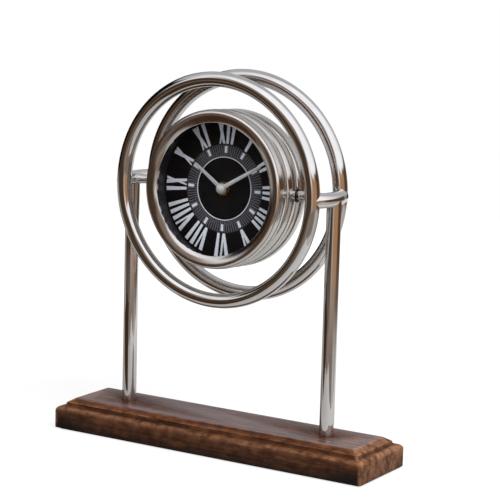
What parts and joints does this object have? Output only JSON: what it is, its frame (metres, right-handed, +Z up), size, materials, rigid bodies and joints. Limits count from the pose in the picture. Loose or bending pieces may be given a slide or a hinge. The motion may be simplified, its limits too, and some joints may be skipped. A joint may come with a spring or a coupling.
{
  "type": "table clock",
  "caption": "Table clock: a round drum with a black Roman dial that tips on two pivots between polished tube rings, on posts over a moulded wooden base.",
  "frame": {"origin": "on the table, under the middle of the base", "axes": "+X along the base to the viewer's right, +Y from the dial to the back, +Z up"},
  "size_m": [0.33, 0.081, 0.3479],
  "materials": {
    "aged_wood": "dark stained hardwood, waxed, worn at the edges",
    "black_felt": "pressed felt",
    "polished_nickel": "nickel plate, polished",
    "ring_nickel": "nickel plate, polished",
    "satin_nickel": "nickel plate, brushed along the bands",
    "zinc_steel": "zinc plated",
    "nylon": "black, plain",
    "brass": "turned",
    "clear_glass": "clear, flat",
    "black_liner": "satin black",
    "black_paint": "satin black paint",
    "dial_white": "printed, matt",
    "silver_hands": "bright, finely brushed",
    "movement_plastic": "moulded, fine spark texture",
    "seal_rubber": "plain",
    "board_laminate": "solder mask",
    "copper_wire": "enamelled wire",
    "cell_jacket": "printed plastic sleeve, left plain"
  },
  "bodies": {
    "stand": {"wood_base": "aged_wood", "base_felt": "black_felt", "left_post": "polished_nickel", "right_post": "polished_nickel", "post_plugs": "zinc_steel", "post_washers": "zinc_steel", "post_screws": "zinc_steel", "front_ring": "ring_nickel", "back_ring": "ring_nickel", "left_cross_bar": "polished_nickel", "right_cross_bar": "polished_nickel", "left_pivot_pin": "zinc_steel", "right_pivot_pin": "zinc_steel", "left_pivot_sleeve": "polished_nickel", "right_pivot_sleeve": "polished_nickel", "pivot_washers": "nylon", "pivot_nuts": "brass"},
    "drum": {"drum_case": "satin_nickel", "bezel": "satin_nickel", "glass": "clear_glass", "liner_ring": "black_liner", "dial": "black_paint", "dial_numerals": "dial_white", "dial_markers": "dial_white", "left_pivot_bush": "polished_nickel", "right_pivot_bush": "polished_nickel", "rear_cover": "satin_nickel", "cover_screws": "zinc_steel", "movement_housing": "movement_plastic", "movement_lid": "movement_plastic", "movement_seal": "seal_rubber", "dial_nut": "brass", "circuit_board": "board_laminate", "motor_coil": "copper_wire", "motor_stator": "zinc_steel", "dry_cell": "cell_jacket", "cell_contacts": "zinc_steel"},
    "minute": {"minute_arbor": "brass", "minute_hand": "silver_hands", "hand_cap": "silver_hands"},
    "hour": {"hour_wheel": "brass", "hour_hand": "silver_hands"},
    "motion": {"motion_wheel": "brass"},
    "setting": {"setting_arbor": "movement_plastic", "setting_knob": "movement_plastic"}
  },
  "joints": [
    {"name": "drum_tilt", "type": "hinge", "parent": "stand", "child": "drum", "pos_m": [0, 0, 0.2417], "axis": [1, 0, 0], "continuous": true},
    {"name": "minute_turn", "type": "hinge", "parent": "drum", "child": "minute", "pos_m": [0, 0, 0.2417], "axis": [0, 0.9986, -0.0523], "continuous": true},
    {"name": "hour_turn", "type": "hinge", "parent": "drum", "child": "hour", "pos_m": [0, 0, 0.2417], "axis": [0, 0.9986, -0.0523], "continuous": true},
    {"name": "motion_turn", "type": "hinge", "parent": "drum", "child": "motion", "pos_m": [0, 0.00057, 0.25249], "axis": [0, 0.9986, -0.0523], "continuous": true},
    {"name": "setting_turn", "type": "hinge", "parent": "drum", "child": "setting", "pos_m": [-0.0108, 0.00057, 0.25249], "axis": [0, 0.9986, -0.0523], "continuous": true}
  ],
  "couplings": [
    {"joint": "hour_turn", "follows": "minute_turn", "ratio": 0.083333},
    {"joint": "motion_turn", "follows": "minute_turn", "ratio": -0.33333},
    {"joint": "setting_turn", "follows": "minute_turn", "ratio": 1}
  ]
}
